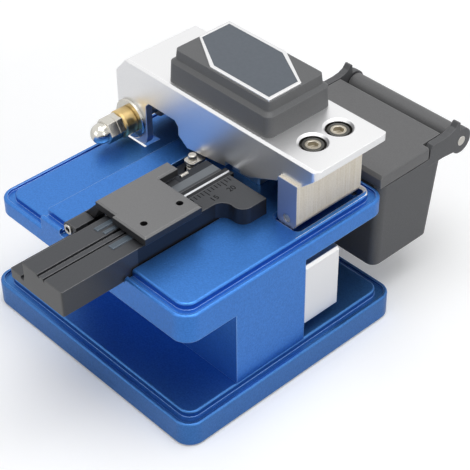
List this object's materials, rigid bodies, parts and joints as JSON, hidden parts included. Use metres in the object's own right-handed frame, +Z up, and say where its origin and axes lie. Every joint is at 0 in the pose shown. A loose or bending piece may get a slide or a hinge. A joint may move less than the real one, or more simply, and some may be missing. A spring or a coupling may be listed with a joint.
{
  "type": "fibre cleaver",
  "caption": "Bench fibre cleaver with a hinged lid, a sliding carriage with a round blade, a fibre tray with clamp plate and a hinged scrap bin",
  "frame": {"origin": "centre of the base plate's footprint on the resting surface", "axes": "+X along the lid towards its hinge, +Y along the fibre towards the scrap bin, +Z up"},
  "size_m": [0.069, 0.1082, 0.0607],
  "materials": {
    "blue_anodised": "satin blue anodised with bright milled edges",
    "silver_anodised": "fine bead-blasted clear anodised",
    "black_anodised": "satin black anodised",
    "grey_anodised": "satin dark grey anodised",
    "ground_steel": "ground stainless steel",
    "dark_steel": "black oxide steel",
    "nickel_plate": "bright nickel plate",
    "brass": "turned brass",
    "brass_screw": "dull brass-tinted plating",
    "blade_carbide": "lapped carbide",
    "black_plastic": "finely textured black plastic",
    "badge_grey": "satin dark grey plate",
    "grey_plastic": "textured dark grey plastic",
    "black_rubber": "matt black rubber"
  },
  "bodies": {
    "frame": {"base_plate": "blue_anodised", "base_mat": "black_rubber", "frame_screws": "dark_steel", "main_frame": "blue_anodised", "guide_rail": "ground_steel", "rail_screws": "dark_steel", "catch_magnet": "nickel_plate", "fibre_tray": "black_anodised", "tray_screws": "dark_steel", "tray_magnets": "nickel_plate", "guide_pads": "black_rubber", "v_groove_insert": "ground_steel", "clamp_hinge_pin": "ground_steel", "lower_clamp_front": "ground_steel", "lower_clamp_rear": "ground_steel", "lower_clamp_pads": "black_rubber", "bin_box": "grey_plastic", "bin_bracket": "dark_steel", "bin_screws": "dark_steel", "bin_pin": "ground_steel"},
    "lid": {"lid_cover": "silver_anodised", "lid_screws": "brass_screw", "stop_tip": "black_rubber", "hinge_block": "ground_steel", "hinge_pin": "ground_steel", "grip_pad": "black_plastic", "badge_rim": "silver_anodised", "badge_plate": "badge_grey", "anvil_shaft": "ground_steel", "large_washer": "nickel_plate", "brass_bush": "brass", "thin_nut": "nickel_plate", "acorn_nut": "nickel_plate", "anvil_spring": "ground_steel", "shaft_collars": "dark_steel"},
    "anvil": {"anvil_arm": "black_anodised", "anvil_tip": "blade_carbide"},
    "front_clamp": {"upper_clamp_front": "ground_steel", "upper_pad_front": "black_rubber", "clamp_spring_front": "ground_steel"},
    "rear_clamp": {"upper_clamp_rear": "ground_steel", "upper_pad_rear": "black_rubber", "clamp_spring_rear": "ground_steel"},
    "carriage": {"slider_carriage": "silver_anodised", "blade_holder": "ground_steel", "holder_screws": "dark_steel", "blade_arbor": "ground_steel"},
    "blade": {"blade_wheel": "blade_carbide"},
    "holder_plate": {"clamp_plate": "grey_anodised", "clamp_plate_pad": "black_rubber"},
    "lid_lifter": {"lift_pin": "ground_steel", "lift_spring": "ground_steel"},
    "bin_cover": {"bin_lid": "grey_plastic"}
  },
  "joints": [
    {"name": "lid_hinge", "type": "hinge", "parent": "frame", "child": "lid", "pos_m": [0.0242, 0.0166, 0.0366], "axis": [0, 1, 0], "range_deg": [0, 65]},
    {"name": "anvil_rock", "type": "hinge", "parent": "lid", "child": "anvil", "pos_m": [-0.0284, 0.0189, 0.0363], "axis": [0, -1, 0], "range_deg": [0, 2], "stiffness_Nm_per_rad": 0.3, "springref_deg": -5.73},
    {"name": "front_clamp_give", "type": "slide", "parent": "lid", "child": "front_clamp", "axis": [0, 0, 1], "range_m": [0, 0.0006], "stiffness_N_per_m": 800, "springref_m": -0.001, "deforming": ["clamp_spring_front"]},
    {"name": "rear_clamp_give", "type": "slide", "parent": "lid", "child": "rear_clamp", "axis": [0, 0, 1], "range_m": [0, 0.0006], "stiffness_N_per_m": 800, "springref_m": -0.001, "deforming": ["clamp_spring_rear"]},
    {"name": "carriage_slide", "type": "slide", "parent": "frame", "child": "carriage", "axis": [1, 0, 0], "range_m": [-0.02, 0]},
    {"name": "blade_index", "type": "hinge", "parent": "carriage", "child": "blade", "pos_m": [0.01, 0.0189, 0.0315], "axis": [0, 1, 0], "continuous": true},
    {"name": "clamp_plate_hinge", "type": "hinge", "parent": "frame", "child": "holder_plate", "pos_m": [-0.0065, -0.0166, 0.0355], "axis": [0, -1, 0], "range_deg": [0, 85]},
    {"name": "lid_lifter_push", "type": "slide", "parent": "frame", "child": "lid_lifter", "axis": [0, 0, 1], "range_m": [-0.0015, 0], "stiffness_N_per_m": 300, "springref_m": 0.002, "deforming": ["lift_spring"]},
    {"name": "bin_cover_hinge", "type": "hinge", "parent": "frame", "child": "bin_cover", "pos_m": [0.0115, 0.0589, 0.0338], "axis": [-1, 0, 0], "range_deg": [0, 95]}
  ]
}
